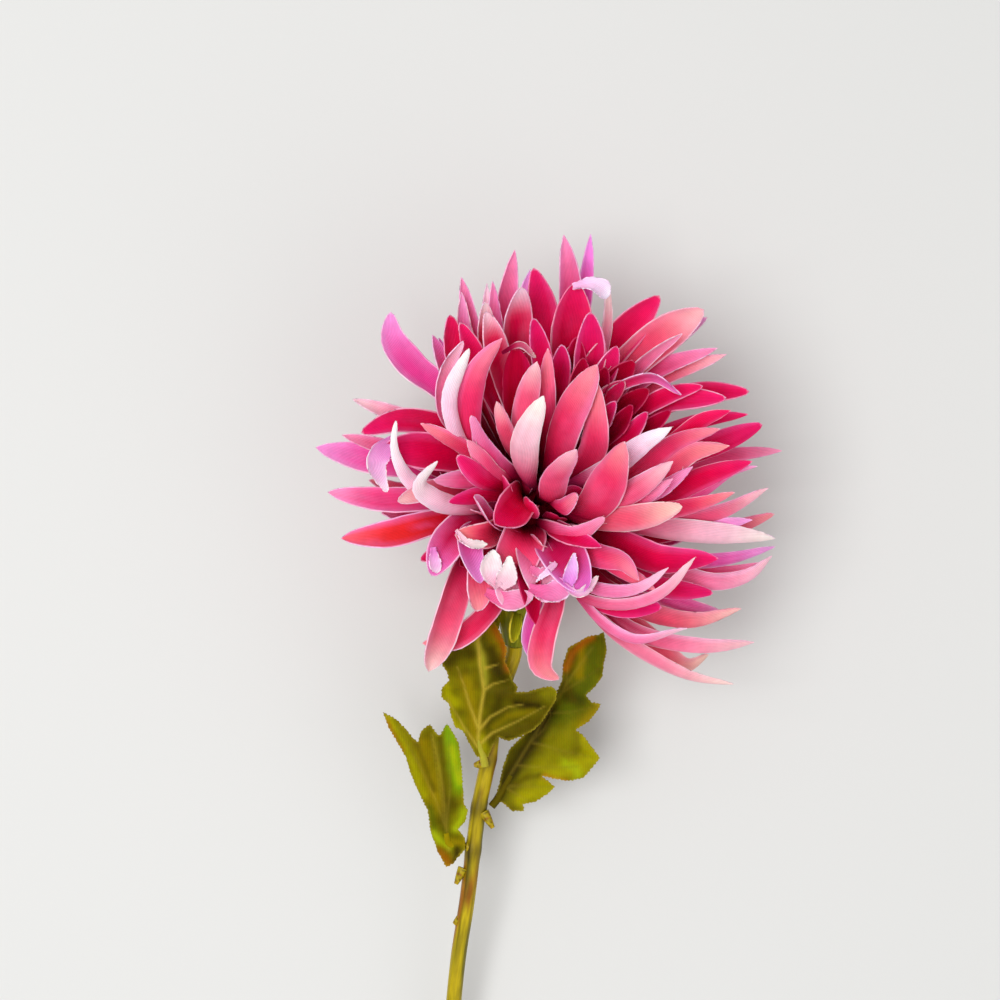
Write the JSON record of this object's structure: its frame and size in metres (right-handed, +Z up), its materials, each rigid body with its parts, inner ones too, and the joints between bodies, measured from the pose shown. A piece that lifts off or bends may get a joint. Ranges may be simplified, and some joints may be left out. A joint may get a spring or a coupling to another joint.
{
  "type": "chrysanthemum flower",
  "caption": "Artificial chrysanthemum flower lying on its side: a full double bloom of layered, pointed cloth petals in a green cup, on a cut moulded stem with lobed leaves.",
  "frame": {"origin": "on the flat spot under the bloom where a hidden petal rests on the table", "axes": "+Y along the flower from the cut end of the stem to the top of the bloom, +Z up off the table and towards the camera of the picture, +X to the picture's right"},
  "size_m": [0.1326, 0.3044, 0.101],
  "materials": {
    "petals": "matt woven cloth, crimson at the roots to pale pink and cream tips",
    "calyx": "moulded, satin",
    "stem": "moulded, satin, with orange-brown streaks",
    "leaves": "matt woven cloth with raised ribs"
  },
  "bodies": {
    "root": {"bloom": "petals", "calyx": "calyx", "stem": "stem", "leaf_left": "leaves", "leaf_front": "leaves", "leaf_right": "leaves"}
  },
  "joints": []
}
